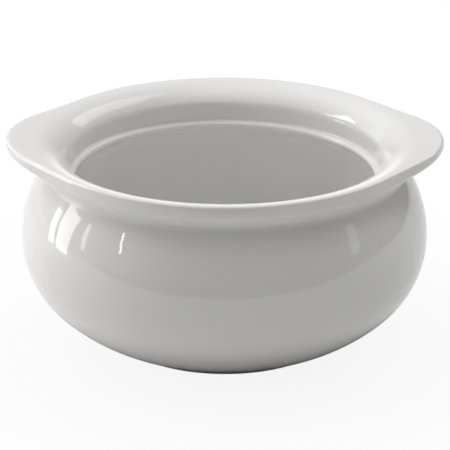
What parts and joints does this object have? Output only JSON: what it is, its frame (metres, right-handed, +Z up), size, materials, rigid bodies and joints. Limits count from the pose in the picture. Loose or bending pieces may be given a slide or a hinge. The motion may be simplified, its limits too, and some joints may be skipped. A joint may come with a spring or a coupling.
{
  "type": "lugged soup crock",
  "caption": "Bellied glazed stoneware soup crock on a bare foot ring, with a neck groove, an inner lid ledge and a flared rim that spreads into side lugs.",
  "frame": {"origin": "middle of the foot ring, on the surface that the crock stands on", "axes": "+Z up out of the mouth; +X through one lug and -X through the other; the picture looks along +Y"},
  "size_m": [0.135, 0.1262, 0.0648],
  "materials": {
    "bare_stoneware": "matte, dry fired clay",
    "white_glaze": "gloss white glaze"
  },
  "bodies": {
    "root": {"stoneware_body": "bare_stoneware", "inside_glaze": "white_glaze", "outside_glaze": "white_glaze", "foot_well_glaze": "white_glaze"}
  },
  "joints": []
}
